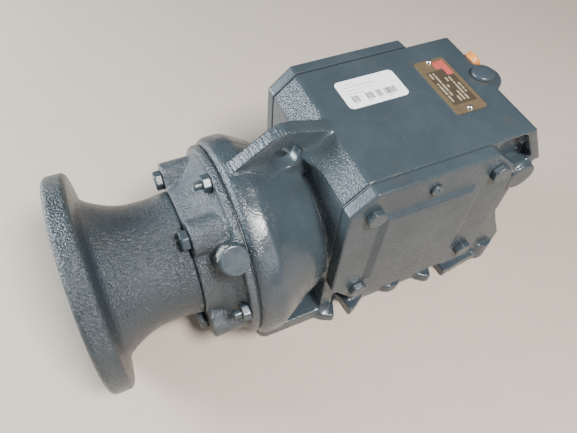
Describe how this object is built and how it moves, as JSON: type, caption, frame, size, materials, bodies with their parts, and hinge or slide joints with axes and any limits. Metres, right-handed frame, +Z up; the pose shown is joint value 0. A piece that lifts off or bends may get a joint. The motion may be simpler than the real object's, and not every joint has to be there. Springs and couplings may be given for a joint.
{
  "type": "industrial gearbox",
  "caption": "Foot-mounted right-angle gearbox: flanged motor adapter, round bell with lifting lug, box gear case with side covers, coupled internal gear train and solid output shaft.",
  "frame": {"origin": "on the foot plane, straight below the output shaft's axis, on the casing's centre plane", "axes": "+Z up; +X along the input axis from the motor flange towards the gear case; +Y along the output shaft, towards its free end"},
  "size_m": [0.441, 0.2455, 0.2269],
  "materials": {
    "cast_paint": "semi-gloss blue-grey enamel over cast iron",
    "painted_fastener": "painted over with the casing",
    "gasket": "pressed fibre gasket",
    "dark_steel": "black-oxide steel",
    "copper_washer": "soft copper",
    "orange_plastic": "moulded orange plastic",
    "brass_plate": "etched metal plate with a dull lacquer",
    "rivet": "bright round-head rivet",
    "white_label": "printed adhesive label",
    "bearing_steel": "polished bearing steel",
    "seal_rubber": "moulded lip seal",
    "spider_plastic": "elastomer spider",
    "coupling_aluminium": "turned aluminium",
    "ground_steel": "ground steel",
    "gear_steel": "case-hardened steel"
  },
  "bodies": {
    "casing": {"housing": "cast_paint", "near_cover": "cast_paint", "far_cover": "cast_paint", "motor_adapter": "cast_paint", "input_ring": "cast_paint", "near_gasket": "gasket", "far_gasket": "gasket", "ring_gasket": "gasket", "near_cover_bolts": "painted_fastener", "far_cover_bolts": "painted_fastener", "ring_bolts": "painted_fastener", "ring_studs": "painted_fastener", "ring_nuts": "painted_fastener", "adapter_screws": "dark_steel", "filler_plug": "painted_fastener", "filler_washer": "copper_washer", "port_plug": "painted_fastener", "drain_plug": "painted_fastener", "vent_cap": "orange_plastic", "cover_screw": "painted_fastener", "rating_plate": "brass_plate", "plate_rivets": "rivet", "paper_label": "white_label", "input_bearing_outers": "bearing_steel", "layshaft_bearing_outers": "bearing_steel", "cross_bearing_outers": "bearing_steel", "output_bearing_outers": "bearing_steel", "input_seal": "seal_rubber", "output_seal": "seal_rubber", "layshaft_spacer": "ground_steel", "input_circlip": "dark_steel"},
    "input": {"input_shaft": "ground_steel", "coupling_motor_half": "coupling_aluminium", "coupling_gear_half": "coupling_aluminium", "coupling_spider": "spider_plastic", "input_bearing_inners": "bearing_steel"},
    "layshaft": {"bevel_pinion_shaft": "ground_steel", "first_wheel": "gear_steel", "first_wheel_circlips": "dark_steel", "layshaft_bearing_inners": "bearing_steel"},
    "cross": {"cross_shaft": "ground_steel", "bevel_wheel": "gear_steel", "cross_bearing_inners": "bearing_steel"},
    "output": {"output_shaft": "ground_steel", "output_wheel": "gear_steel", "wheel_key": "dark_steel", "output_spacer": "ground_steel", "output_bearing_inners": "bearing_steel"}
  },
  "joints": [
    {"name": "output_spin", "type": "hinge", "parent": "casing", "child": "output", "pos_m": [0, 0, 0.112], "axis": [0, 1, 0], "continuous": true},
    {"name": "cross_spin", "type": "hinge", "parent": "casing", "child": "cross", "pos_m": [-0.05499, 0, 0.136], "axis": [0, 1, 0], "continuous": true},
    {"name": "layshaft_spin", "type": "hinge", "parent": "casing", "child": "layshaft", "pos_m": [-0.1, 0, 0.136], "axis": [1, 0, 0], "continuous": true},
    {"name": "input_spin", "type": "hinge", "parent": "casing", "child": "input", "pos_m": [-0.2, 0, 0.1], "axis": [1, 0, 0], "continuous": true}
  ],
  "couplings": [
    {"joint": "cross_spin", "follows": "output_spin", "ratio": -3.2857},
    {"joint": "layshaft_spin", "follows": "output_spin", "ratio": -7.2286},
    {"joint": "input_spin", "follows": "output_spin", "ratio": 15.903}
  ]
}
